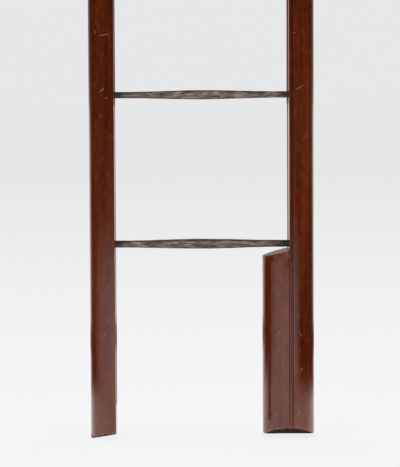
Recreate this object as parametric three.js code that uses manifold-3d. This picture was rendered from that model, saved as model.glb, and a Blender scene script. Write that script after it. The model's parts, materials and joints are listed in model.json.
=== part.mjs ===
// A folding pole ladder for a library, in millimetres, +Z up, seen from the front along +Y.
// Two half-round stiles face each other. Each rung turns on an iron pin in a groove of each stile, so the
// left stile swings up and in until its flat face meets the right one, and the two make one round pole.
// A half-round block at the right stile's foot and one at the left stile's head fill the pole out where
// the other stile is missing. The origin is on the floor, midway between the stiles.
import * as THREE from "three";
import { mergeVertices } from "three/addons/utils/BufferGeometryUtils.js";
import Module from "manifold-3d";

const wasm = await Module();
wasm.setup();

// The pole and the stiles
const POLE_RADIUS = 40;
const GAP = 267; // between the two flat faces, open
const HALF_GAP = GAP / 2;
const HEIGHT = 2211; // of the right stile's top edge
const FIT = 0.3; // air left between two pieces that are glued or pressed together
const END_SLOPE = 10 / POLE_RADIUS; // of the left foot and of what meets it: 10 mm over the half pole
const LEVEL_FOOT = 6.5; // height of the right foot, level with the floor, over the left foot's low edge
const LEVEL_HEAD = HEIGHT - LEVEL_FOOT;

// The rungs
const RUNGS = 8;
const PITCH = 230;
const FIRST_RUNG = 300.5;
const PIVOT_DEPTH = 7.5; // of the pins behind the flat faces
const PIVOT_X = HALF_GAP + PIVOT_DEPTH;
const RUNG_LENGTH = 2 * PIVOT_X; // from pin to pin
const RUNG_WIDTH = 28;
const RUNG_END_THICKNESS = 9.5;
const RUNG_SWELL = 4.5; // added to the thickness at the middle
const SWELL_HALF_LENGTH = 123;
const RUNG_NOSE = 6.2; // how far a rung runs past its pins
const RUNG_ARRIS = 1.2;

// The grooves that the rungs fold into
const GROOVE_DEPTH = PIVOT_DEPTH + 6.5;
const GROOVE_WIDTH = 32;
const GROOVE_END = 10.5; // past the last pin at the end where the rungs stand clear
const GROOVE_SHORT = 51; // from the groove's other end to the stile's

// Pins, plugs and dowels
const PIN_RADIUS = 2.4;
const BORE_RADIUS = 2.5; // in the rungs, which turn
const PIN_HOLE_RADIUS = PIN_RADIUS + FIT; // in the stiles, which hold the pins
const PIN_FRONT = -32.7; // the holes are blind, so the front stays whole
const PIN_BACK = 33;
const PLUG_RADIUS = 4;
const DOWEL_RADIUS = 5;
const DOWEL_HALF_LENGTH = 15;
const DOWEL_HEIGHTS = [80, 220]; // over the foot, and under the head

// The bead along the front edge of the right-hand half of the pole
const BEAD_RADIUS = 1.9;
const QUIRK_DEPTH = 2.4;
const QUIRK_FLOOR_END = 5.1;
const QUIRK_END = 6.1;

// The chamfers on the front of the feet, as the depth from the front and the height there
const RIGHT_CHAMFER = { run: 22, rise: 11, foot: LEVEL_FOOT };
const LEFT_CHAMFER = { run: 12, rise: 5, foot: 5.5 };

const FAR = 100; // past the pole on every side, for the tools that cut it
const ROUND_SIDES = 16;
const BORE_SIDES = 24;

// How far the pin-to-pin line rises from open to closed, and so how far the left stile rises
const CLOSED_COSINE = (2 * PIVOT_DEPTH + 2 * FIT) / RUNG_LENGTH;
const RISE = RUNG_LENGTH * Math.sqrt(1 - CLOSED_COSINE ** 2);

// A closed geometry as a solid that can be cut.
function solid(geometry) {
  const bare = geometry.clone();
  bare.deleteAttribute("normal");
  bare.deleteAttribute("uv");
  const merged = mergeVertices(bare, 1e-4);
  return new wasm.Manifold(
    new wasm.Mesh({
      numProp: 3,
      vertProperties: merged.attributes.position.array,
      triVerts: new Uint32Array(merged.index.array),
    }),
  );
}

function piece(name, made, material, x = 0, z = 0) {
  const cut = made.getMesh();
  const geometry = new THREE.BufferGeometry();
  geometry.setAttribute("position", new THREE.BufferAttribute(cut.vertProperties, 3));
  geometry.setIndex(new THREE.BufferAttribute(cut.triVerts, 1));
  geometry.computeVertexNormals();
  const mesh = new THREE.Mesh(geometry, material);
  mesh.name = name;
  mesh.position.set(x, 0, z);
  return mesh;
}

// A box, or a round bar along X or Y, given by where it starts and ends.
function block(x0, x1, y0, y1, z0, z1) {
  const box = new THREE.BoxGeometry(x1 - x0, y1 - y0, z1 - z0);
  return solid(box.translate((x0 + x1) / 2, (y0 + y1) / 2, (z0 + z1) / 2));
}

function barAlongX(radius, x0, x1, z) {
  const bar = new THREE.CylinderGeometry(radius, radius, x1 - x0, ROUND_SIDES);
  return solid(bar.rotateZ(-Math.PI / 2).translate((x0 + x1) / 2, 0, z));
}

function barAlongY(radius, y0, y1, x, z, sides = ROUND_SIDES) {
  const bar = new THREE.CylinderGeometry(radius, radius, y1 - y0, sides);
  return solid(bar.translate(x, (y0 + y1) / 2, z));
}

// Everything under, or over, the sloped cut that passes height z on a half pole's axis and rises towards +X.
// The left foot, the foot block's top, the right stile's head and the top block's bottom all follow it.
function underSlope(z) {
  const outline = new THREE.Shape();
  outline.moveTo(-FAR, z - FAR);
  outline.lineTo(FAR, z - FAR);
  outline.lineTo(FAR, z + END_SLOPE * FAR);
  outline.lineTo(-FAR, z - END_SLOPE * FAR);
  const wedge = new THREE.ExtrudeGeometry(outline, { depth: 2 * FAR, bevelEnabled: false });
  return solid(wedge.rotateX(Math.PI / 2).translate(0, FAR, 0));
}

function overSlope(z) {
  return block(-FAR, FAR, -FAR, FAR, z - FAR, z + FAR).subtract(underSlope(z));
}

// The wedge that a foot's front chamfer takes away.
function frontChamfer({ run, rise, foot }) {
  const slope = rise / run;
  const front = -POLE_RADIUS;
  const outline = new THREE.Shape();
  outline.moveTo(front + run + FAR, foot - slope * FAR);
  outline.lineTo(front - run, foot + 2 * rise);
  outline.lineTo(front - run, foot - slope * FAR);
  const wedge = new THREE.ExtrudeGeometry(outline, { depth: 2 * FAR, bevelEnabled: false });
  // The outline's x and y become Y and Z.
  return solid(wedge.rotateX(Math.PI / 2).rotateZ(Math.PI / 2).translate(-FAR, 0, 0));
}

// The section of half the pole, its flat on the pole's axis and its round towards side.
function halfRound(side, beaded) {
  const outline = new THREE.Path();
  if (beaded) {
    outline.absarc(BEAD_RADIUS, BEAD_RADIUS - POLE_RADIUS, BEAD_RADIUS, Math.PI, 2 * Math.PI, false);
    outline.lineTo(2 * BEAD_RADIUS, QUIRK_DEPTH - POLE_RADIUS);
    outline.lineTo(QUIRK_FLOOR_END, QUIRK_DEPTH - POLE_RADIUS);
    const start = -Math.acos(QUIRK_END / POLE_RADIUS);
    outline.absarc(0, 0, POLE_RADIUS, start, Math.PI / 2, false);
  } else {
    outline.absarc(0, 0, POLE_RADIUS, -Math.PI / 2, Math.PI / 2, false);
  }
  return outline.getPoints(16).map((p) => new THREE.Vector2(side * p.x, p.y));
}

// A stretch of half pole from height z0 to z1, held back from its axis by the given air.
function halfPole(side, beaded, z0, z1, air = 0) {
  const section = new THREE.Shape(halfRound(side, beaded));
  const round = new THREE.ExtrudeGeometry(section, { depth: z1 - z0, bevelEnabled: false });
  const made = solid(round.translate(0, 0, z0));
  if (air === 0) return made;
  return made.subtract(block(-air, air, -FAR, FAR, z0 - 1, z1 + 1));
}

const rungHeights = Array.from({ length: RUNGS }, (_, k) => FIRST_RUNG + k * PITCH);

// The groove, the blind pin holes and the plugs' holes over them, all in one stile.
function cutForRungs(stile, side, grooveFrom, grooveTo) {
  const inner = Math.min(-side * FIT, side * GROOVE_DEPTH);
  const outer = Math.max(-side * FIT, side * GROOVE_DEPTH);
  const half = GROOVE_WIDTH / 2;
  let made = stile.subtract(block(inner, outer, -half, half, grooveFrom, grooveTo));
  for (const z of rungHeights) {
    const x = side * PIVOT_DEPTH;
    made = made.subtract(barAlongY(PIN_HOLE_RADIUS, PIN_FRONT - FIT, PIN_BACK + FIT, x, z));
    made = made.subtract(barAlongY(PLUG_RADIUS + FIT, PIN_BACK, POLE_RADIUS + FIT, x, z));
  }
  return made;
}

function cutForDowels(made, heights) {
  const reach = DOWEL_HALF_LENGTH + FIT;
  return heights.reduce((left, z) => left.subtract(barAlongX(DOWEL_RADIUS + FIT, -reach, reach, z)), made);
}

const footDowels = DOWEL_HEIGHTS;
const headDowels = DOWEL_HEIGHTS.map((z) => HEIGHT - z);
const footBlockTop = END_SLOPE * POLE_RADIUS + RISE - FIT; // at the flat face
const headBlockBottom = HEIGHT - footBlockTop;

function rightStile() {
  let made = halfPole(1, true, LEVEL_FOOT, HEIGHT);
  made = made.subtract(overSlope(HEIGHT - END_SLOPE * POLE_RADIUS));
  made = made.subtract(frontChamfer(RIGHT_CHAMFER));
  made = cutForRungs(made, 1, FIRST_RUNG - GROOVE_END, HEIGHT - GROOVE_SHORT);
  return cutForDowels(made, footDowels);
}

function leftStile() {
  let made = halfPole(-1, false, 0, LEVEL_HEAD);
  made = made.subtract(underSlope(END_SLOPE * POLE_RADIUS));
  made = made.subtract(frontChamfer(LEFT_CHAMFER));
  made = cutForRungs(made, -1, GROOVE_SHORT, HEIGHT - FIRST_RUNG + GROOVE_END);
  return cutForDowels(made, headDowels);
}

function footBlock() {
  let made = halfPole(-1, false, LEVEL_FOOT, footBlockTop + FIT, FIT);
  made = made.subtract(overSlope(footBlockTop));
  made = made.subtract(frontChamfer(RIGHT_CHAMFER));
  return cutForDowels(made, footDowels);
}

function topBlock() {
  const made = halfPole(1, true, headBlockBottom - FIT, LEVEL_HEAD, FIT);
  return cutForDowels(made.subtract(underSlope(headBlockBottom)), headDowels);
}

// Half the rung's thickness at distance s from its middle.
function halfThickness(s) {
  const swell = Math.abs(s) < SWELL_HALF_LENGTH ? Math.cos((Math.PI * s) / (2 * SWELL_HALF_LENGTH)) ** 2 : 0;
  return (RUNG_END_THICKNESS + RUNG_SWELL * swell) / 2;
}

// A rung from the front, its middle at the origin. At each end one corner is rounded about the pin, so that
// it can turn past the bottom of the groove, and the other is left square and stops it when it is level.
function rungOutline() {
  const half = RUNG_END_THICKNESS / 2;
  const meets = Math.asin(half / RUNG_NOSE);
  const steps = 8;
  const outline = new THREE.Shape();
  for (const side of [1, -1]) {
    const end = side * PIVOT_X;
    outline.lineTo(end + side * RUNG_NOSE, -side * half);
    const start = side > 0 ? 0 : Math.PI;
    outline.absarc(end, 0, RUNG_NOSE, start, start + meets, false);
    for (let i = 0; i <= steps; i++) {
      const s = side * SWELL_HALF_LENGTH * (1 - (2 * i) / steps);
      outline.lineTo(s, side * halfThickness(s));
    }
  }
  return outline;
}

function rung() {
  const outline = new THREE.Shape(rungOutline().getPoints(4).slice(1));
  const shape = new THREE.ExtrudeGeometry(outline, {
    depth: RUNG_WIDTH - 2 * RUNG_ARRIS,
    bevelThickness: RUNG_ARRIS,
    bevelSize: RUNG_ARRIS,
    bevelOffset: -RUNG_ARRIS,
    bevelSegments: 1,
  });
  const half = RUNG_WIDTH / 2;
  let made = solid(shape.rotateX(Math.PI / 2).translate(0, half - RUNG_ARRIS, 0));
  for (const x of [-PIVOT_X, PIVOT_X]) {
    made = made.subtract(barAlongY(BORE_RADIUS, -half - 1, half + 1, x, 0, BORE_SIDES));
  }
  return made;
}

// A mahogany plug over a pin, its outer end dressed to the round of the pole.
function plug(side) {
  const x = side * PIVOT_DEPTH;
  const made = barAlongY(PLUG_RADIUS, PIN_BACK + 2 * FIT, POLE_RADIUS + FIT, x, 0);
  return made.intersect(halfPole(side, false, -2 * PLUG_RADIUS, 2 * PLUG_RADIUS));
}

const polished = { roughness: 0.28, metalness: 0 };
const mahogany = new THREE.MeshStandardMaterial({ name: "mahogany", color: 0x5a2a1c, ...polished });
const plugWood = new THREE.MeshStandardMaterial({ name: "plug_mahogany", color: 0x6b3522, ...polished });
const wornWood = new THREE.MeshStandardMaterial({ name: "worn_rung", color: 0x6d5a4d, roughness: 0.6 });
const beech = new THREE.MeshStandardMaterial({ name: "beech_dowel", color: 0xb58c5e, roughness: 0.7 });
const iron = new THREE.MeshStandardMaterial({
  name: "iron_pin",
  color: 0x4b4a48,
  roughness: 0.45,
  metalness: 1,
});

const ladder = new THREE.Group();
const rightHalf = new THREE.Group();
const leftHalf = new THREE.Group();
rightHalf.position.x = HALF_GAP;
leftHalf.position.x = -HALF_GAP;
ladder.add(rightHalf, leftHalf);

rightHalf.add(piece("right_stile", rightStile(), mahogany));
rightHalf.add(piece("foot_block", footBlock(), mahogany));
leftHalf.add(piece("left_stile", leftStile(), mahogany));
leftHalf.add(piece("top_block", topBlock(), mahogany));

const dowel = barAlongX(DOWEL_RADIUS, -DOWEL_HALF_LENGTH, DOWEL_HALF_LENGTH, 0);
["lower", "upper"].forEach((which, i) => {
  rightHalf.add(piece(`foot_block_dowel_${which}`, dowel, beech, 0, footDowels[i]));
  leftHalf.add(piece(`top_block_dowel_${which}`, dowel, beech, 0, headDowels[1 - i]));
});

const pin = barAlongY(PIN_RADIUS, PIN_FRONT, PIN_BACK, 0, 0);
rungHeights.forEach((z, k) => {
  ladder.add(piece(`rung_${k + 1}`, rung(), wornWood, 0, z));
  for (const [half, word, side] of [[rightHalf, "right", 1], [leftHalf, "left", -1]]) {
    half.add(piece(`${word}_pivot_pin_${k + 1}`, pin, iron, side * PIVOT_DEPTH, z));
    half.add(piece(`${word}_plug_${k + 1}`, plug(side), plugWood, 0, z));
  }
});

export default ladder;
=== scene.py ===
# %% [markdown]
# # A folding pole ladder for a library
# Two half-round mahogany stiles, closed up, make one round pole. Opened, they hang apart on thin rungs
# that turn on iron pins in a groove of each stile. This lesson loads the ladder's solid model as a fixed
# frame, then makes every piece again with bmesh operators, at the size and place that the frame gives,
# and finishes each one with a procedural material.

# %% Load the frame
import json
import math

import bmesh
import bpy
from mathutils import Matrix, Vector, noise

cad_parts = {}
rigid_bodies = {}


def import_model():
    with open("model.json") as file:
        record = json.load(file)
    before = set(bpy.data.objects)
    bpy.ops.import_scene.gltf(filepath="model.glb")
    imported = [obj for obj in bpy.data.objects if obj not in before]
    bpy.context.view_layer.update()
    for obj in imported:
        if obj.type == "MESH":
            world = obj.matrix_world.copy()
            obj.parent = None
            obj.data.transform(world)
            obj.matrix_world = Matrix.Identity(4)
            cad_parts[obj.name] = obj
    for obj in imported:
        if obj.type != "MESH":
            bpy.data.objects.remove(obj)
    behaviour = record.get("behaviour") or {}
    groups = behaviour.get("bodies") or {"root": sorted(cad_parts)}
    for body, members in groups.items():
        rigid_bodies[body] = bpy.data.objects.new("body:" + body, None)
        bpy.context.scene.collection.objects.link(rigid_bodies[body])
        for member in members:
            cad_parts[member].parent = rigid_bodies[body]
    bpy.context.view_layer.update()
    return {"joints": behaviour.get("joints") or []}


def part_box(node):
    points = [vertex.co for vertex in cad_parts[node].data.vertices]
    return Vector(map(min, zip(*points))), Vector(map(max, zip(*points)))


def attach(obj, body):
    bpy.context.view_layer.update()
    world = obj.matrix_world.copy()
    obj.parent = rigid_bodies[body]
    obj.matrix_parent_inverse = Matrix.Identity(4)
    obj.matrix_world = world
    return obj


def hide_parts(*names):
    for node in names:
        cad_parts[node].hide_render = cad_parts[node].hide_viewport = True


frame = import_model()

MM = 0.001
scene = bpy.context.scene

# %% [markdown]
# ## Measure the frame
# Nothing is placed by eye. The pole's radius, the flat faces, the ends of each stile and the rungs'
# pivots are read from the solid pieces and from the joints, so that each new piece lies where its solid
# does.

# %% Measure the frame
right_low, right_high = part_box("right_stile")
RADIUS = right_high.y
FLAT = right_low.x  # the right stile's flat face, and minus this is the left one's
HEIGHT = right_high.z
LEVEL_FOOT = right_low.z
LEVEL_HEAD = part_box("left_stile")[1].z
BLOCK_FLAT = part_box("foot_block")[1].x
BLOCK_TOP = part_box("foot_block")[1].z
BLOCK_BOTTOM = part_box("top_block")[0].z
END_RISE = 10 * MM  # of the sloped ends, over half the pole
END_SLOPE = END_RISE / RADIUS  # they all rise towards +X

pivots = {}
for joint in frame["joints"]:
    if joint["parent"] == "right_stile":
        pivots[joint["child"]] = Vector(joint["pos_m"])
PIVOT_X = pivots["rung_1"].x
print(f"pole {2 * RADIUS / MM:.0f} mm thick, {2 * FLAT / MM:.0f} mm between the stiles")
print(len(pivots), "rungs")

# %% [markdown]
# ## The camera
# It stands low and a little to the left, 3.3 m in front, with a long lens, and looks slightly down at the
# ladder's lower part: two rungs, both feet and the block. It leans by less than half a degree.

# %% Camera
CAMERA_PLACE = Vector((-0.035, -3.3, 0.521))
CAMERA_TURN = math.radians(0.56)  # to the right
CAMERA_DIP = math.radians(3.55)
CAMERA_LEAN = math.radians(-0.27)
LONG_LENS = 164.7


def aim(place, turn, dip, lean):
    """The camera's matrix: turn right from +Y, dip under the horizon, lean about its line of sight."""
    turned = Matrix.Rotation(-turn, 4, "Z") @ Matrix.Rotation(math.pi / 2 - dip, 4, "X")
    return Matrix.Translation(place) @ turned @ Matrix.Rotation(lean, 4, "Z")


camera = bpy.data.objects.new("camera", bpy.data.cameras.new("camera"))
scene.collection.objects.link(camera)
camera.data.lens = LONG_LENS
camera.matrix_world = aim(CAMERA_PLACE, CAMERA_TURN, CAMERA_DIP, CAMERA_LEAN)
scene.camera = camera
scene.view_settings.view_transform = "Standard"
print("camera", [round(c, 3) for c in camera.location], "lens", camera.data.lens)

# %% [markdown]
# ## Helpers for shaping wood
# A moulding is drawn as one outline, edge by edge, filled, and pulled up to its length. The saw is
# `bisect_plane`, which cuts the wood off past a plane, and the cut is closed with a face. The same
# operator without clearing scores a line all round, which gives later steps an edge to work from.

# %% Outline, saw and score


def vertices_of(geometry):
    return [g for g in geometry if isinstance(g, bmesh.types.BMVert)]


def line_to(bm, vert, x, y):
    """Draws an outline on from vert by a straight edge."""
    new = bmesh.ops.extrude_vert_indiv(bm, verts=[vert])["verts"][0]
    new.co = (x, y, vert.co.z)
    return new


def arc(bm, vert, centre, turn, steps):
    """Draws an outline on from vert by an arc of turn radians about centre."""
    spun = bmesh.ops.spin(
        bm, geom=[vert], cent=(*centre, vert.co.z), axis=(0, 0, 1), angle=turn, steps=steps
    )
    return vertices_of(spun["geom_last"])[0]


def everything(bm):
    return bm.verts[:] + bm.edges[:] + bm.faces[:]


def saw(bm, point, normal):
    """Saws off what lies past the plane, on the side that its normal points to, and closes the end."""
    sawn = bmesh.ops.bisect_plane(
        bm, geom=everything(bm), plane_co=point, plane_no=normal, clear_outer=True
    )
    rim = [g for g in sawn["geom_cut"] if isinstance(g, bmesh.types.BMEdge)]
    bmesh.ops.edgeloop_fill(bm, edges=rim)


def score(bm, point, normal=(0, 0, 1)):
    bmesh.ops.bisect_plane(bm, geom=everything(bm), plane_co=point, plane_no=normal)


def slide(bm, geometry, vector):
    bmesh.ops.translate(bm, verts=vertices_of(geometry), vec=vector)


print("helpers ready")

# %% [markdown]
# ## From a bmesh to a piece of the ladder
# Every piece is finished in the same way: normals outwards, smooth shading with sharp edges kept, and a
# Weighted Normal modifier, so that the small rounded arrises don't shade the wide flats next to them.
# Then it rides on its body and stands for its solid.

# %% Finish a piece
SHARP = math.radians(40)


def finish_piece(bm, name, body, slot, material):
    bmesh.ops.remove_doubles(bm, verts=bm.verts[:], dist=0.002 * MM)
    bmesh.ops.recalc_face_normals(bm, faces=bm.faces[:])
    mesh = bpy.data.meshes.new(name)
    bm.to_mesh(mesh)
    bm.free()
    mesh.shade_smooth()
    mesh.set_sharp_from_angle(angle=SHARP)
    mesh.materials.append(material)
    piece = bpy.data.objects.new("wood_" + name if slot != "iron_pin" else "iron_" + name, mesh)
    scene.collection.objects.link(piece)
    even = piece.modifiers.new("even_normals", "WEIGHTED_NORMAL")
    even.keep_sharp = True
    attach(piece, body)
    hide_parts(name)
    return piece


def wander(bm, verts, amount, size, seed):
    """Moves each vertex in or out by up to amount, over hollows of about the given size."""
    bm.normal_update()
    shift = Vector((seed * 7.3, seed * 3.1, seed * 5.7))
    for vert in verts:
        vert.co += vert.normal * amount * noise.noise(vert.co / size + shift)


print("pieces keep edges sharper than", round(math.degrees(SHARP)), "degrees")

# %% [markdown]
# ## Helpers for materials
# Colours are written as sRGB hex and turned to linear by one function. One more function adds a node with
# its settings, its colour stops and its links. A value that is the same all over the surface goes
# straight on the shader's own socket.

# %% Colour and node helpers


def colour(code):
    """An sRGB hex colour as linear RGBA."""
    channels = [int(code[i : i + 2], 16) / 255 for i in (1, 3, 5)]
    linear = [c / 12.92 if c <= 0.04045 else ((c + 0.055) / 1.055) ** 2.4 for c in channels]
    return (*linear, 1)


def add(tree, kind, inputs=None, stops=None, **settings):
    """Adds a node. inputs maps a socket's name or number to a value or to the output that feeds it."""
    node = tree.nodes.new(kind)
    for name, value in settings.items():
        setattr(node, name, value)
    for place, (position, code) in enumerate(stops or []):
        elements = node.color_ramp.elements
        element = elements[place] if place < 2 else elements.new(position)
        element.position = position
        element.color = colour(code)
    for socket, value in (inputs or {}).items():
        if isinstance(value, bpy.types.NodeSocket):
            tree.links.new(value, node.inputs[socket])
        else:
            node.inputs[socket].default_value = value
    return node


def new_material(name):
    material = bpy.data.materials.new(name)
    material.use_nodes = True
    tree = material.node_tree
    tree.nodes.clear()
    return material, tree


print("dark mahogany is", [round(c, 3) for c in colour("#4A1A0C")])

# %% [markdown]
# ## French-polished mahogany
# Old Cuban mahogany is dark red-brown. Shellac, rubbed on in many thin coats, fills its pores and leaves
# a deep, slightly soft gloss. What the eye gets is a broad figure of lighter, orange stripes that run
# with the grain, fine dark pores, a small mottle, and on top the marks of long use: pale scratches, bare,
# lighter wood at the rims of the feet, and dark end grain, which is partly dirt and partly painted shade
# on the feet's chamfers, which face the shaded floor under the feet. The patterns are stretched
# along Z, because the grain runs with the pole. The attribute `to_end` holds each point's distance from
# the nearest sawn end, and the `unrolled` map has the distance round the pole and the height, in metres,
# so that scratches have their real length.

# %% Mahogany
FIGURE_WIDTH = 26 * MM
FIGURE_LENGTH = 420 * MM
RIBBON_WIDTH = 7 * MM
PORE_WIDTH = 1.1 * MM
PORE_LENGTH = 60 * MM
MOTTLE_WIDTH = 6 * MM
MOTTLE_LENGTH = 13 * MM
FLECK_WIDTH = 0.9 * MM
FLECK_LENGTH = 2.2 * MM
HOLLOW_SIZE = 45 * MM
SCRATCH_CELL = 42 * MM
SCRATCH_HALF_LENGTH = 7 * MM
SCRATCH_HALF_WIDTH = 0.45 * MM
SCRATCH_CHANCE = 0.38  # of a cell to hold a stroke
END_WEAR = 9 * MM
END_DIRT_AND_SHADE_FADE = (0.9 * MM, 0.3 * MM)


def grain_noise(tree, where, width, length, detail=3.0, distortion=0.0, axis=2):
    """Noise whose blots are width across the grain and length along it."""
    stretch = [1 / width] * 3
    stretch[axis] = 1 / length
    mapped = add(tree, "ShaderNodeMapping", {"Vector": where, "Scale": stretch})
    made = add(
        tree,
        "ShaderNodeTexNoise",
        {"Vector": mapped.outputs[0], "Scale": 1.0, "Detail": detail, "Distortion": distortion},
    )
    return made.outputs["Fac"]


def mixed(tree, factor, one, two, blend="MIX"):
    """Colour one, turned into colour two by factor."""
    node = add(tree, "ShaderNodeMix", data_type="RGBA", blend_type=blend)
    for place, value in ((0, factor), (6, one), (7, two)):
        if isinstance(value, bpy.types.NodeSocket):
            tree.links.new(value, node.inputs[place])
        else:
            node.inputs[place].default_value = value
    return node.outputs[2]


def eased(tree, value, start, end, low=0.0, high=1.0):
    """Turns value from start to end smoothly into low to high."""
    inputs = {"Value": value, "From Min": start, "From Max": end, "To Min": low, "To Max": high}
    return add(tree, "ShaderNodeMapRange", inputs, interpolation_type="SMOOTHSTEP").outputs[0]


def maths(tree, operation, one, two=0.0):
    return add(tree, "ShaderNodeMath", {0: one, 1: two}, operation=operation).outputs[0]


def random_scratches(tree, where):
    """Short strokes, one in some of the cells of a Voronoi pattern, each turned its own way."""
    cells = add(
        tree, "ShaderNodeTexVoronoi", {"Vector": where, "Scale": 1 / SCRATCH_CELL}, voronoi_dimensions="2D"
    )
    chance = add(tree, "ShaderNodeSeparateColor", {0: cells.outputs["Color"]})
    away = add(
        tree, "ShaderNodeVectorMath", {0: where, 1: cells.outputs["Position"]}, operation="SUBTRACT"
    )
    angle = maths(tree, "MULTIPLY", chance.outputs[0], 2 * math.pi)
    turned = add(
        tree, "ShaderNodeVectorRotate", {"Vector": away.outputs[0], "Angle": angle}, rotation_type="Z_AXIS"
    )
    size = (1 / SCRATCH_HALF_WIDTH, 1 / SCRATCH_HALF_LENGTH, 0)
    flattened = add(
        tree, "ShaderNodeVectorMath", {0: turned.outputs[0], 1: size}, operation="MULTIPLY"
    )
    reach = add(tree, "ShaderNodeVectorMath", {0: flattened.outputs[0]}, operation="LENGTH")
    stroke = eased(tree, reach.outputs["Value"], 1.0, 0.4)
    some = maths(tree, "GREATER_THAN", chance.outputs[1], 1 - SCRATCH_CHANCE)
    return maths(tree, "MULTIPLY", stroke, some)


def own_scratch(tree, where, mark):
    """One stroke: (round the pole, height, half length, half width, turn), in mm and degrees."""
    around, height, half_length, half_width, turn = mark
    placed = add(
        tree,
        "ShaderNodeMapping",
        {
            "Vector": where,
            "Location": (around * MM, height * MM, 0),
            "Rotation": (0, 0, math.radians(turn)),
            "Scale": (half_length * MM, half_width * MM, 1),
        },
        vector_type="TEXTURE",
    )
    reach = add(tree, "ShaderNodeVectorMath", {0: placed.outputs[0]}, operation="LENGTH")
    return eased(tree, reach.outputs["Value"], 1.0, 0.5)


def mahogany(name, marks):
    material, tree = new_material(name)
    place = add(tree, "ShaderNodeTexCoord").outputs["Object"]
    unrolled = add(tree, "ShaderNodeUVMap", uv_map="unrolled").outputs[0]
    to_end = add(tree, "ShaderNodeAttribute", attribute_name="to_end").outputs["Fac"]

    figure = grain_noise(tree, place, FIGURE_WIDTH, FIGURE_LENGTH, 4.0, 0.5)
    ribbon = grain_noise(tree, place, RIBBON_WIDTH, FIGURE_LENGTH, 3.0)
    pores = grain_noise(tree, place, PORE_WIDTH, PORE_LENGTH, 2.0)
    base = add(
        tree,
        "ShaderNodeValToRGB",
        {"Fac": figure},
        stops=[(0.30, "#451404"), (0.72, "#74300C"), (0.50, "#5C2007")],
    ).outputs[0]
    base = mixed(tree, eased(tree, ribbon, 0.45, 0.75, 0, 0.3), base, colour("#74330F"))
    base = mixed(tree, eased(tree, pores, 0.56, 0.70, 0, 0.42), base, colour("#1E0804"))

    mottle = grain_noise(tree, place, MOTTLE_WIDTH, MOTTLE_LENGTH, 5.0, 0.4)
    base = mixed(tree, eased(tree, mottle, 0.50, 0.72, 0, 0.35), base, colour("#8A3C18"))
    base = mixed(tree, eased(tree, mottle, 0.46, 0.28, 0, 0.3), base, colour("#2A0D05"))
    flecks = grain_noise(tree, place, FLECK_WIDTH, FLECK_LENGTH, 1.0)
    base = mixed(tree, eased(tree, flecks, 0.73, 0.80, 0, 0.6), base, colour("#B9805F"))

    rough_edge = grain_noise(tree, place, 4 * MM, 5 * MM, 3.0)
    end_distance = maths(tree, "ADD", to_end, maths(tree, "MULTIPLY", rough_edge, END_WEAR))
    bare = eased(tree, end_distance, 0.85 * END_WEAR, 0.45 * END_WEAR)
    worn_here = eased(tree, grain_noise(tree, place, 9 * MM, 7 * MM, 2.0), 0.44, 0.58, 0.15, 0.85)
    bare = maths(tree, "MULTIPLY", bare, worn_here)
    base = mixed(tree, bare, base, colour("#A5623A"))
    # Dark end grain: partly dirt, and partly painted shade on the feet's chamfers, which face the shaded
    # floor under the feet.
    end_grain_dirt_and_shade = eased(tree, to_end, *END_DIRT_AND_SHADE_FADE)
    base = mixed(tree, maths(tree, "MULTIPLY", end_grain_dirt_and_shade, 0.85), base, colour("#2A1610"))

    scratched = random_scratches(tree, unrolled)
    for mark in marks:
        scratched = maths(tree, "MAXIMUM", scratched, own_scratch(tree, unrolled, mark))
    broken = eased(tree, grain_noise(tree, place, 2 * MM, 2 * MM, 2.0), 0.35, 0.55)
    scratched = maths(tree, "MULTIPLY", scratched, broken)
    base = mixed(tree, maths(tree, "MULTIPLY", scratched, 0.75), base, colour("#D09A80"))

    hollows = grain_noise(tree, place, HOLLOW_SIZE, 3 * HOLLOW_SIZE, 2.0)
    rough = eased(tree, hollows, 0.3, 0.7, 0.12, 0.2)
    rough = maths(tree, "ADD", rough, maths(tree, "MULTIPLY", bare, 0.25))
    rough = maths(tree, "ADD", rough, maths(tree, "MULTIPLY", end_grain_dirt_and_shade, 0.45))
    rough = maths(tree, "ADD", rough, maths(tree, "MULTIPLY", scratched, 0.3))

    waves = add(tree, "ShaderNodeBump", {"Height": hollows, "Distance": 0.5 * MM, "Strength": 0.5})
    open_pores = add(
        tree,
        "ShaderNodeBump",
        {"Height": pores, "Distance": 0.05 * MM, "Strength": 0.35, "Normal": waves.outputs[0]},
    )
    cuts = add(
        tree,
        "ShaderNodeBump",
        {"Height": scratched, "Distance": 0.2 * MM, "Strength": 0.6, "Normal": open_pores.outputs[0]},
        invert=True,
    )
    wood = add(
        tree,
        "ShaderNodeBsdfPrincipled",
        {
            "Base Color": base,
            "Roughness": rough,
            "Normal": cuts.outputs[0],
            "IOR": 1.5,
            "Coat Weight": 1.0,
            "Coat Roughness": 0.1,
        },
    )
    add(tree, "ShaderNodeOutputMaterial", {"Surface": wood.outputs[0]})
    return material


# The larger scratches, each as own_scratch takes it. They were placed one by one.
LEFT_MARKS = [
    (15, 622, 10, 0.55, -11),
    (30, 627, 3, 0.6, 88),
    (19, 538, 6.5, 0.8, -37),
    (12, 526, 3, 0.6, -33),
    (22, 499, 4, 0.6, 70),
]
RIGHT_MARKS = [
    (17, 541, 10, 0.5, 27),
    (9, 624, 3, 0.6, 5),
    (15, 41, 5, 0.7, 85),
    (19, 108, 4, 0.6, 60),
    (26, 465, 6, 0.5, 40),
]
BLOCK_MARKS = [(22, 38, 2, 0.8, 30)]
left_mahogany = mahogany("french_polished_mahogany_left", LEFT_MARKS)
right_mahogany = mahogany("french_polished_mahogany_right", RIGHT_MARKS)
block_mahogany = mahogany("french_polished_mahogany_block", BLOCK_MARKS)
print(len(left_mahogany.node_tree.nodes), "nodes in the mahogany")

# %% [markdown]
# ## The half-round moulding
# Both stiles and both blocks are lengths of one moulding. The outline starts on the flat, beside the
# groove, and goes round the front. The right-hand half of the pole has a bead with a quirk beside it,
# scratched along its front arris, so that the line where the halves meet looks meant. The arcs are spun,
# the outline is filled, and the face is pulled up to the moulding's length.

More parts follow.
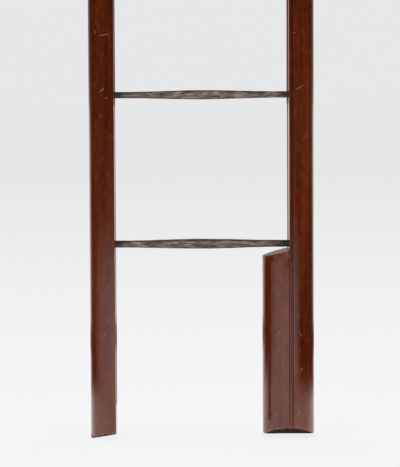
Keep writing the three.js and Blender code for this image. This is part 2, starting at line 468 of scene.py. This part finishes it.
# %% Half-round moulding
GROOVE_HALF = 16 * MM
GROOVE_DEPTH = 14 * MM
BEAD = 1.9 * MM
QUIRK_DEPTH = 2.4 * MM
QUIRK_FLOOR_END = 5.1 * MM
QUIRK_END = 6.1 * MM
ROUND_STEPS = 56


def moulding(side, beaded, flat, low, high):
    """A bmesh of half the pole, flat at x = flat and round towards side, from height low to high.

    flat may be a little off the pole's axis, for the glue line: the round keeps the axis as its centre."""
    axis = math.copysign(FLAT, flat)
    bm = bmesh.new()
    vert = bm.verts.new((flat, GROOVE_HALF, low))
    first = vert
    vert = line_to(bm, vert, flat, -GROOVE_HALF)
    if beaded:
        vert = line_to(bm, vert, flat, BEAD - RADIUS)
        vert = arc(bm, vert, (flat + side * BEAD, BEAD - RADIUS), side * math.pi, 12)
        vert = line_to(bm, vert, flat + side * 2 * BEAD, QUIRK_DEPTH - RADIUS)
        vert = line_to(bm, vert, flat + side * QUIRK_FLOOR_END, QUIRK_DEPTH - RADIUS)
        start = math.asin(QUIRK_END / RADIUS)
        vert = line_to(bm, vert, axis + side * QUIRK_END, -RADIUS * math.cos(start))
        vert = arc(bm, vert, (axis, 0), side * (math.pi - start), ROUND_STEPS)
    else:
        vert = line_to(bm, vert, flat, -RADIUS)
        vert = arc(bm, vert, (axis, 0), side * math.pi, ROUND_STEPS)
    bm.edges.new((vert, first))
    bmesh.ops.edgeloop_fill(bm, edges=bm.edges[:])
    top = bmesh.ops.extrude_face_region(bm, geom=bm.faces[:])
    slide(bm, top["geom"], (0, 0, high - low))
    bmesh.ops.recalc_face_normals(bm, faces=bm.faces[:])
    return bm


def cut_groove(bm, side, flat, low, high):
    """Ploughs the groove that the rungs fold into, from height low to high."""
    score(bm, (0, 0, low))
    score(bm, (0, 0, high))
    strip = []
    for face in bm.faces:
        middle = face.calc_center_median()
        if abs(middle.x - flat) < 0.01 * MM and abs(middle.y) < GROOVE_HALF and low < middle.z < high:
            strip.append(face)
    sunk = bmesh.ops.extrude_face_region(bm, geom=strip)
    slide(bm, sunk["geom"], (side * GROOVE_DEPTH, 0, 0))
    bmesh.ops.delete(bm, geom=strip, context="FACES_ONLY")  # the groove's mouth is open


print("half-round moulding with", ROUND_STEPS, "steps round")

# %% [markdown]
# ## Ends, rims and arrises
# The sloped and chamfered ends are sawn. Feet that stand on floors lose their sharp rim, so the edge
# between an end and the round is bevelled by 3 to 4 mm, and every other edge is eased by a third of a
# millimetre. Near the ends the surface then wanders by a few tenths of a millimetre, where knocks have
# dented it.

# %% Ends, rims and arrises
EASE = 0.35 * MM
CHAMFER_RIGHT = {"run": 22 * MM, "rise": 11 * MM, "foot": LEVEL_FOOT}
CHAMFER_LEFT = {"run": 12 * MM, "rise": 5 * MM, "foot": 5.5 * MM}


def chamfer_plane(run, rise, foot):
    """The point and normal of a foot's front chamfer."""
    return Vector((0, run - RADIUS, foot)), Vector((0, -rise, -run)).normalized()


def slope_plane(axis, z, up):
    """The point and normal of a sloped end that passes height z on the pole's axis."""
    normal = Vector((-END_SLOPE, 0, 1)).normalized()
    return Vector((axis, 0, z)), normal if up else -normal


def level_plane(z, up):
    return Vector((0, 0, z)), Vector((0, 0, 1 if up else -1))


def is_end(face):
    return abs(face.normal.z) > 0.5


def rim_edges(bm, flat, clear, where):
    """The edges between an end and the round, at least clear away from the flat face."""
    found = []
    for edge in bm.edges:
        if len(edge.link_faces) != 2:
            continue
        one, two = edge.link_faces
        middle = (edge.verts[0].co + edge.verts[1].co) / 2
        if is_end(one) != is_end(two) and min(abs(v.co.x - flat) for v in edge.verts) >= clear:
            if where(middle):
                found.append(edge)
    return found


def bevel(bm, edges, width, segments):
    bmesh.ops.bevel(
        bm,
        geom=edges,
        offset=width,
        offset_type="OFFSET",
        segments=segments,
        profile=0.5,
        affect="EDGES",
        clamp_overlap=True,
        material=-1,
    )


def ease_arrises(bm):
    bm.normal_update()
    sharp = [e for e in bm.edges if len(e.link_faces) == 2 and e.calc_face_angle() > math.radians(50)]
    bevel(bm, sharp, EASE, 2)


def mark_ends(bm, planes):
    """Writes each vertex's distance from the nearest end into the attribute to_end."""
    layer = bm.verts.layers.float.new("to_end")
    for vert in bm.verts:
        vert[layer] = min(abs((vert.co - point).dot(normal)) for point, normal in planes)


ROUND_SHARE = 0.93  # of the radius: faces that lie further in belong to the flat
FLAT_OFFSET = 0.1  # keeps the flat's part of the map away from the round's


def unroll(bm, flat, side):
    """Maps the round by its length round the pole and its height, and the flat beside it."""
    axis = math.copysign(FLAT, flat)
    layer = bm.loops.layers.uv.new("unrolled")
    for face in bm.faces:
        on_round = Vector((face.calc_center_median().x - axis, face.calc_center_median().y)).length
        flatwise = on_round < ROUND_SHARE * RADIUS
        for loop in face.loops:
            co = loop.vert.co
            around = RADIUS * math.atan2(side * (co.x - axis), -co.y)
            loop[layer].uv = (-FLAT_OFFSET - co.y - co.x, co.z) if flatwise else (around, co.z)


CUTS_NEAR_END = (14, 20, 30, 45, 70, 100)  # in mm
CUT_SPACING = 90 * MM  # along the rest of the length
UNCUT_END = 0.1
DENTED = 25 * MM  # from an end
DENT_DEPTH = 0.35 * MM
DENT_SIZE = 7 * MM
CLEAR_OF_FLAT = 2 * MM


def dress(bm, side, flat, planes, seed):
    """Scores the length, dents the ends, and writes what the material reads."""
    low = min(v.co.z for v in bm.verts)
    high = max(v.co.z for v in bm.verts)
    for step in CUTS_NEAR_END:
        score(bm, (0, 0, low + step * MM))
        score(bm, (0, 0, high - step * MM))
    for step in range(1, int((high - low - 2 * UNCUT_END) / CUT_SPACING)):
        score(bm, (0, 0, low + UNCUT_END + step * CUT_SPACING))
    mark_ends(bm, planes)
    layer = bm.verts.layers.float["to_end"]
    near = [v for v in bm.verts if v[layer] < DENTED and abs(v.co.x - flat) > CLEAR_OF_FLAT]
    wander(bm, near, DENT_DEPTH, DENT_SIZE, seed)
    unroll(bm, flat, side)


print("rims and arrises ready")

# %% [markdown]
# ## The right stile
# It stands level on the floor, with a deep chamfer along the front of its foot, and its head is sawn on
# the slope that the top block comes down on when the ladder is shut. It has the bead along its front
# arris.

# %% Right stile
GROOVE_END = 10.5 * MM
GROOVE_SHORT = 51 * MM
FOOT_RIM = 3.2 * MM
LEFT_FOOT_RIM = 4 * MM
HEAD_RIM = 1.5 * MM
END_ZONE = 0.1  # the foot's rim lies below this height
first_rung = pivots["rung_1"].z


def right_stile():
    bm = moulding(1, True, FLAT, LEVEL_FOOT, HEIGHT)
    head = slope_plane(FLAT, HEIGHT - END_SLOPE * RADIUS, True)
    chamfer = chamfer_plane(**CHAMFER_RIGHT)
    saw(bm, *head)
    saw(bm, *chamfer)
    cut_groove(bm, 1, FLAT, first_rung - GROOVE_END, HEIGHT - GROOVE_SHORT)
    bm.normal_update()
    foot_rim = rim_edges(bm, FLAT, QUIRK_END - EASE, lambda m: m.z < END_ZONE and m.y > -0.8 * RADIUS)
    bevel(bm, foot_rim, FOOT_RIM, 4)
    bm.normal_update()
    bevel(bm, rim_edges(bm, FLAT, QUIRK_END - EASE, lambda m: m.z > HEIGHT / 2), HEAD_RIM, 3)
    ease_arrises(bm)
    dress(bm, 1, FLAT, [level_plane(LEVEL_FOOT, False), head, chamfer], 1)
    return finish_piece(bm, "right_stile", "right_stile", "mahogany", right_mahogany)


stile = right_stile()
print(stile.name, len(stile.data.polygons), "faces")

# %% [markdown]
# ## The left stile
# Plain half-round. Its foot is sawn on a slope, the same slope as the top of the foot block, and only the
# front of it has a small chamfer. Its head is level.

# %% Left stile


def left_stile():
    bm = moulding(-1, False, -FLAT, 0, LEVEL_HEAD)
    foot = slope_plane(-FLAT, END_SLOPE * RADIUS, False)
    chamfer = chamfer_plane(**CHAMFER_LEFT)
    saw(bm, *foot)
    saw(bm, *chamfer)
    cut_groove(bm, -1, -FLAT, GROOVE_SHORT, HEIGHT - first_rung + GROOVE_END)
    bm.normal_update()
    bevel(bm, rim_edges(bm, -FLAT, EASE, lambda m: m.z < END_ZONE), LEFT_FOOT_RIM, 5)
    bm.normal_update()
    bevel(bm, rim_edges(bm, -FLAT, EASE, lambda m: m.z > HEIGHT / 2), HEAD_RIM, 3)
    ease_arrises(bm)
    dress(bm, -1, -FLAT, [foot, chamfer, level_plane(LEVEL_HEAD, True)], 2)
    return finish_piece(bm, "left_stile", "left_stile", "mahogany", left_mahogany)


stile = left_stile()
print(stile.name, len(stile.data.polygons), "faces")

# %% [markdown]
# ## The two blocks
# Each is a short length of the other half of the pole, glued and dowelled to a stile's flat face. The
# foot block shares the right stile's level end and chamfer, and its top is sawn on the left stile's
# slope. The top block is the same turned end for end, and carries the bead.

# %% Blocks


def foot_block():
    bm = moulding(-1, False, BLOCK_FLAT, LEVEL_FOOT, BLOCK_TOP)
    top = slope_plane(BLOCK_FLAT, BLOCK_TOP, True)
    chamfer = chamfer_plane(**CHAMFER_RIGHT)
    saw(bm, *top)
    saw(bm, *chamfer)
    bm.normal_update()
    bevel(bm, rim_edges(bm, BLOCK_FLAT, EASE, lambda m: m.z < END_ZONE), FOOT_RIM, 4)
    bm.normal_update()
    bevel(bm, rim_edges(bm, BLOCK_FLAT, EASE, lambda m: m.z > END_ZONE), HEAD_RIM, 3)
    ease_arrises(bm)
    dress(bm, -1, BLOCK_FLAT, [level_plane(LEVEL_FOOT, False), top, chamfer], 3)
    return finish_piece(bm, "foot_block", "right_stile", "mahogany", block_mahogany)


def top_block():
    bm = moulding(1, True, -BLOCK_FLAT, BLOCK_BOTTOM, LEVEL_HEAD)
    bottom = slope_plane(-BLOCK_FLAT, BLOCK_BOTTOM, False)
    saw(bm, *bottom)
    bm.normal_update()
    bevel(bm, rim_edges(bm, -BLOCK_FLAT, QUIRK_END - EASE, lambda m: True), HEAD_RIM, 3)
    ease_arrises(bm)
    dress(bm, 1, -BLOCK_FLAT, [bottom, level_plane(LEVEL_HEAD, True)], 4)
    return finish_piece(bm, "top_block", "left_stile", "mahogany", block_mahogany)


for block in (foot_block(), top_block()):
    print(block.name, len(block.data.polygons), "faces")

# %% [markdown]
# ## Worn rung wood
# The rungs never had much polish, and shoes have taken what they had. The wood is grey-brown, with pale,
# rubbed streaks along the grain, dark dirt in its pores, painted shade along the rounded arrises, and a
# blue-black colour at the ends, partly patina where no shoe comes and partly painted shade where the ends
# go into the stiles' grooves.

# %% Rung wood
RUB_WIDTH = 3 * MM
RUB_LENGTH = 22 * MM
DIRT_WIDTH = 1.2 * MM
DIRT_LENGTH = 9 * MM


def rung_wood():
    material, tree = new_material("worn_oiled_hardwood")
    place = add(tree, "ShaderNodeTexCoord").outputs["Object"]
    parts = add(tree, "ShaderNodeSeparateXYZ", {0: place})
    rubbed = grain_noise(tree, place, RUB_WIDTH, RUB_LENGTH, 4.0, 0.6, axis=0)
    dirt = grain_noise(tree, place, DIRT_WIDTH, DIRT_LENGTH, 3.0, 0.3, axis=0)
    patches = grain_noise(tree, place, 9 * MM, 30 * MM, 3.0, 0.4, axis=0)
    base = add(
        tree,
        "ShaderNodeValToRGB",
        {"Fac": rubbed},
        stops=[(0.32, "#3B3029"), (0.68, "#CDBCA8"), (0.50, "#7F6E60")],
    ).outputs[0]
    base = mixed(tree, eased(tree, patches, 0.42, 0.62, 0, 0.5), base, colour("#5B4A3F"))
    base = mixed(tree, eased(tree, dirt, 0.54, 0.68, 0, 0.7), base, colour("#2A211D"))
    out = maths(tree, "ABSOLUTE", parts.outputs[0])
    ragged = maths(tree, "MULTIPLY", grain_noise(tree, place, 6 * MM, 10 * MM, 3.0, axis=0), 18 * MM)
    # Blue-black ends: partly patina, and partly painted shade where each end goes into a stile's groove.
    end_patina_and_shade = eased(tree, maths(tree, "ADD", out, ragged), FLAT - 8 * MM, FLAT + 2 * MM, 0, 0.75)
    base = mixed(tree, end_patina_and_shade, base, colour("#2B262A"))
    facing = add(tree, "ShaderNodeNewGeometry").outputs["Normal"]
    upright = add(tree, "ShaderNodeSeparateXYZ", {0: facing}).outputs[2]
    upright = maths(tree, "ABSOLUTE", upright)
    # Painted shade: the rounded arrises, between the top or bottom and the sides, are darkened into dark
    # outlines.
    painted_arris_shade = maths(tree, "MULTIPLY", eased(tree, upright, 0.35, 0.75), eased(tree, upright, 0.99, 0.93))
    base = mixed(tree, maths(tree, "MULTIPLY", painted_arris_shade, 0.75), base, colour("#2A1D18"))
    rough = eased(tree, rubbed, 0.3, 0.75, 0.62, 0.38)
    height = maths(tree, "SUBTRACT", rubbed, maths(tree, "MULTIPLY", dirt, 0.6))
    relief = add(tree, "ShaderNodeBump", {"Height": height, "Distance": 0.5 * MM, "Strength": 0.6})
    wood = add(
        tree,
        "ShaderNodeBsdfPrincipled",
        {"Base Color": base, "Roughness": rough, "Normal": relief.outputs[0], "IOR": 1.5},
    )
    add(tree, "ShaderNodeOutputMaterial", {"Surface": wood.outputs[0]})
    return material


rung_material = rung_wood()
print("rung wood has", len(rung_material.node_tree.nodes), "nodes")

# %% [markdown]
# ## The rungs
# A rung is a thin board, 28 mm wide, that swells from 9.5 mm at its ends to 14 mm in the middle, where it
# bends most. It starts as a cube, scaled to the board and cut across into steps, and each step is then
# made as thick as the swell says. Its long arrises are rounded. At each end one corner is rounded too, so
# that it can turn past the bottom of the groove. The other corner is square, and stops the rung when it
# is level.

# %% Rungs
END_THICKNESS = 9.5 * MM
SWELL = 4.5 * MM
SWELL_HALF_LENGTH = 123 * MM
NOSE = 6.2 * MM
RUNG_STEPS = 72
ARRIS = 3.2 * MM
NOSE_ROUND = 4.2 * MM
CLOSE = 0.01 * MM
CUT_MARGIN = 5 * MM  # from a rung's end to its first cut
END_WIDTH = 0.86  # of a rung's full width, where it has no swell


def swell(s):
    """How much of the swell a rung has at distance s from its middle, from 0 to 1."""
    return math.cos(math.pi * s / (2 * SWELL_HALF_LENGTH)) ** 2 if abs(s) < SWELL_HALF_LENGTH else 0


def rung(number):
    name = f"rung_{number}"
    height = pivots[name].z
    half_length = PIVOT_X + NOSE
    half_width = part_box(name)[1].y
    bm = bmesh.new()
    bmesh.ops.create_cube(bm, size=2)
    bmesh.ops.scale(bm, vec=(half_length, half_width, END_THICKNESS / 2), verts=bm.verts[:])
    long_edges = [e for e in bm.edges if abs(e.verts[0].co.x - e.verts[1].co.x) > half_length]
    bevel(bm, long_edges, ARRIS, 5)
    for side in (1, -1):
        corner = []
        for edge in bm.edges:
            one, two = edge.verts
            at_end = all(abs(v.co.x - side * half_length) < CLOSE for v in (one, two))
            if at_end and all(side * v.co.z > END_THICKNESS / 2 - 0.05 * MM for v in (one, two)):
                corner.append(edge)
        bevel(bm, corner, NOSE_ROUND, 5)
    for step in range(1, RUNG_STEPS):
        score(bm, ((2 * step / RUNG_STEPS - 1) * (half_length - CUT_MARGIN), 0, 0), (1, 0, 0))
    for vert in bm.verts:
        share = swell(vert.co.x)
        vert.co.z *= 1 + share * SWELL / END_THICKNESS
        vert.co.y *= END_WIDTH + (1 - END_WIDTH) * share
    wander(bm, bm.verts[:], 0.3 * MM, 16 * MM, 10 + number)
    bmesh.ops.translate(bm, verts=bm.verts[:], vec=(0, 0, height))
    return finish_piece(bm, name, name, "rung", rung_material)


for number in range(1, len(pivots) + 1):
    made = rung(number)
print(len(pivots), "rungs of", len(made.data.polygons), "faces")

# %% [markdown]
# ## Pins, plugs and dowels
# The pins are iron rod, cut and filed off. Each is driven into a blind hole from the back and covered
# with a mahogany plug, which is dressed down to the round of the pole. The blocks' dowels are beech,
# chamfered at both ends, and don't show.

# %% Iron, plug and dowel materials


def forged_iron():
    """Wrought iron rod: dark and brown-grey with old oil, lighter and darker in small patches of scale."""
    material, tree = new_material("wrought_iron")
    place = add(tree, "ShaderNodeTexCoord").outputs["Object"]
    scale = grain_noise(tree, place, 1.5 * MM, 4 * MM, 4.0, axis=1)
    base = add(
        tree, "ShaderNodeValToRGB", {"Fac": scale}, stops=[(0.35, "#3A332E"), (0.7, "#77716B")]
    ).outputs[0]
    relief = add(tree, "ShaderNodeBump", {"Height": scale, "Distance": 0.1 * MM, "Strength": 0.5})
    iron = add(
        tree,
        "ShaderNodeBsdfPrincipled",
        {
            "Base Color": base,
            "Metallic": 1.0,
            "Roughness": eased(tree, scale, 0.3, 0.7, 0.55, 0.35),
            "Normal": relief.outputs[0],
        },
    )
    add(tree, "ShaderNodeOutputMaterial", {"Surface": iron.outputs[0]})
    return material


def turned_wood(name, dark, light, roughness):
    """Plain wood with its grain along X: beech for the dowels, and mahogany for the plugs."""
    material, tree = new_material(name)
    place = add(tree, "ShaderNodeTexCoord").outputs["Object"]
    grain = grain_noise(tree, place, 0.7 * MM, 3 * MM, 3.0, axis=0)
    base = add(
        tree, "ShaderNodeValToRGB", {"Fac": grain}, stops=[(0.35, dark), (0.65, light)]
    ).outputs[0]
    relief = add(tree, "ShaderNodeBump", {"Height": grain, "Distance": 0.1 * MM, "Strength": 0.4})
    wood = add(
        tree,
        "ShaderNodeBsdfPrincipled",
        {"Base Color": base, "Roughness": roughness, "Normal": relief.outputs[0], "IOR": 1.5},
    )
    add(tree, "ShaderNodeOutputMaterial", {"Surface": wood.outputs[0]})
    return material


iron_material = forged_iron()
plug_material = turned_wood("mahogany_plug", "#3A1208", "#6E2C14", 0.35)
beech_material = turned_wood("beech", "#A57D52", "#C9A473", 0.7)
print("iron, plug and beech ready")

# %% Pins, plugs and dowels


def rod(low, high, axis, ease, segments=32):
    """A bmesh of a rod that fills the box from low to high. axis is 0 for X and 1 for Y."""
    bm = bmesh.new()
    radius = (high.z - low.z) / 2
    turn = Matrix.Rotation(math.pi / 2, 3, "Y" if axis == 0 else "X")
    bmesh.ops.create_cone(
        bm,
        cap_ends=True,
        segments=segments,
        radius1=radius,
        radius2=radius,
        depth=high[axis] - low[axis],
    )
    rims = [e for e in bm.edges if e.calc_face_angle(0) > math.radians(60)]
    bevel(bm, rims, ease, 2)
    bmesh.ops.rotate(bm, verts=bm.verts[:], matrix=turn)
    bmesh.ops.translate(bm, verts=bm.verts[:], vec=(Vector(low) + Vector(high)) / 2)
    return bm


PROUD = 0.12 * MM


def plug(side_name, number):
    """A plug, its outer end dressed to the pole's round and left a hair proud, as old plugs are."""
    name = f"{side_name}_plug_{number}"
    low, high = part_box(name)
    bm = rod(low, high, 1, 0.25 * MM)
    axis = math.copysign(FLAT, low.x)
    for vert in bm.verts:
        if vert.co.y > (low.y + high.y) / 2:
            surface = math.sqrt(RADIUS**2 - (vert.co.x - axis) ** 2)
            vert.co.y += surface + PROUD - high.y
    return finish_piece(bm, name, f"{side_name}_stile", "plug", plug_material)


for side_name in ("right", "left"):
    for number in range(1, len(pivots) + 1):
        name = f"{side_name}_pivot_pin_{number}"
        pin = rod(*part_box(name), 1, 0.4 * MM)
        finish_piece(pin, name, f"{side_name}_stile", "iron_pin", iron_material)
        plug(side_name, number)
for name, body in (("foot_block_dowel", "right_stile"), ("top_block_dowel", "left_stile")):
    for which in ("_lower", "_upper"):
        dowel = rod(*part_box(name + which), 0, 1 * MM)
        finish_piece(dowel, name + which, body, "dowel", beech_material)
print("pins, plugs and dowels made")

# %% [markdown]
# ## The studio
# A plain pale floor runs out to a pale sky. Polished wood shows what stands round it, so the studio is
# made for the reflections: dark in front and at the sides, which keeps the red deep, and bright behind,
# which gives each round its soft grey outline. Near the ladder the floor glows brightly in reflections,
# and painted shade at the sides, where two dark cards would stand, cuts this bright part to a wedge, so
# the lower ends of the stiles get pale streaks that run out upwards. The glow also holds a painted dark
# band where paper would bend up behind the ladder, and a painted shadow under each foot. Camera rays and
# diffuse light see a pale floor instead, with a painted pool of light that is brightest near the ladder,
# and an even soft light.

# %% Floor
FLOOR_HALF = 300.0
FLOOR_SEEN_WITH_PAINTED_POOL = [(0.0, "#FBFBFD"), (1.0, "#E6E7E9"), (0.15, "#F5F5F7"), (0.40, "#EDEEEF")]
FLOOR_FADE = 12.0
FRONT_LIT = (6.0, 2.6)  # distances, from dark to fully lit
FOOT_LIT = (0.92, 0.48)
PAINTED_FOOT_SHADOW = (0.035, 0.075)  # from a pole's axis: a painted shadow, dark under a foot
PAINTED_BEND_SHADE_RANGE = (1.05, 1.35, 1.50, 1.95)  # painted shade in the reflected glow, where paper would bend up behind the ladder
PAINTED_BEND_DEPTH = 0.75
MIRRORED = 0.84  # how bright the lit floor is in a reflection


def floor_material():
    material, tree = new_material("pale_paper")
    place = add(tree, "ShaderNodeTexCoord").outputs["Object"]
    away = add(tree, "ShaderNodeVectorMath", {0: place}, operation="LENGTH").outputs["Value"]
    far = maths(tree, "DIVIDE", away, FLOOR_FADE)
    # Painted pool of light: the floor that camera rays see is brightest near the ladder and greyer further
    # off.
    seen_with_painted_pool = add(tree, "ShaderNodeValToRGB", {"Fac": far}, stops=FLOOR_SEEN_WITH_PAINTED_POOL)
    glow = add(tree, "ShaderNodeEmission", {"Color": seen_with_painted_pool.outputs[0], "Strength": 0.86})
    paper = add(tree, "ShaderNodeBsdfDiffuse", {"Color": (0.13, 0.13, 0.13, 1)})
    plain = add(tree, "ShaderNodeAddShader", {0: glow.outputs[0], 1: paper.outputs[0]})

    towards = add(tree, "ShaderNodeVectorMath", {0: place}, operation="NORMALIZE")
    parts = add(tree, "ShaderNodeSeparateXYZ", {0: towards.outputs[0]})
    ahead = maths(tree, "MULTIPLY", parts.outputs[1], -1.0)
    # Painted shade at the sides of the reflected glow, where two dark cards would stand: it cuts the lit
    # floor in front to a wedge.
    painted_card_edge = eased(tree, parts.outputs[0], -0.3, 0.4, -0.45, 0.5)
    front = maths(tree, "MULTIPLY", eased(tree, ahead, painted_card_edge, 0.95), eased(tree, away, *FRONT_LIT))
    # A painted dark band in the reflected glow, where paper would bend up behind the ladder.
    painted_bend_band = maths(
        tree,
        "MULTIPLY",
        eased(tree, away, *PAINTED_BEND_SHADE_RANGE[:2]),
        eased(tree, away, *reversed(PAINTED_BEND_SHADE_RANGE[2:])),
    )
    clear_of_painted_bend = maths(tree, "SUBTRACT", 1.0, maths(tree, "MULTIPLY", painted_bend_band, PAINTED_BEND_DEPTH))
    back = maths(tree, "MULTIPLY", eased(tree, ahead, -0.5, -0.97), clear_of_painted_bend)
    near = eased(tree, away, *FOOT_LIT)
    lit = maths(tree, "MAXIMUM", maths(tree, "MAXIMUM", front, back), near)
    # A painted shadow in the reflected glow under each foot.
    either_side = add(tree, "ShaderNodeVectorMath", {0: place}, operation="ABSOLUTE").outputs[0]
    from_pole = add(tree, "ShaderNodeVectorMath", {0: either_side, 1: (FLAT, 0, 0)}, operation="DISTANCE")
    outside_painted_foot_shadow = eased(tree, from_pole.outputs["Value"], *PAINTED_FOOT_SHADOW)
    strength = maths(tree, "MULTIPLY", maths(tree, "MULTIPLY", lit, outside_painted_foot_shadow), MIRRORED)
    mirrored = add(tree, "ShaderNodeEmission", {"Color": (1, 0.88, 0.83, 1), "Strength": strength})
    path = add(tree, "ShaderNodeLightPath")
    either = add(
        tree,
        "ShaderNodeMixShader",
        {0: path.outputs["Is Glossy Ray"], 1: plain.outputs[0], 2: mirrored.outputs[0]},
    )
    add(tree, "ShaderNodeOutputMaterial", {"Surface": either.outputs[0]})
    return material


bm = bmesh.new()
bmesh.ops.create_grid(bm, x_segments=2, y_segments=2, size=FLOOR_HALF)
floor_mesh = bpy.data.meshes.new("floor")
bm.to_mesh(floor_mesh)
bm.free()
floor_mesh.materials.append(floor_material())
floor = bpy.data.objects.new("floor", floor_mesh)
scene.collection.objects.link(floor)
print("floor is", 2 * FLOOR_HALF, "m across")

# %% World
world = bpy.data.worlds.new("studio")
world.use_nodes = True
scene.world = world
tree = world.node_tree
tree.nodes.clear()
direction = add(tree, "ShaderNodeTexCoord").outputs["Generated"]
parts = add(tree, "ShaderNodeSeparateXYZ", {0: direction})
bright_side = maths(tree, "MAXIMUM", parts.outputs[1], parts.outputs[2])
studio = add(
    tree,
    "ShaderNodeValToRGB",
    {"Fac": eased(tree, bright_side, 0.5, 0.97)},
    stops=[(0.0, "#060504"), (1.0, "#A08E8A")],
)
path = add(tree, "ShaderNodeLightPath")
fill = mixed(tree, path.outputs["Is Glossy Ray"], (0.8, 0.8, 0.82, 1), studio.outputs[0])
shown = mixed(tree, path.outputs["Is Camera Ray"], fill, colour("#E6E7E9"))
background = add(tree, "ShaderNodeBackground", {"Color": shown, "Strength": 1.0})
add(tree, "ShaderNodeOutputWorld", {"Surface": background.outputs[0]})
print("world ready")
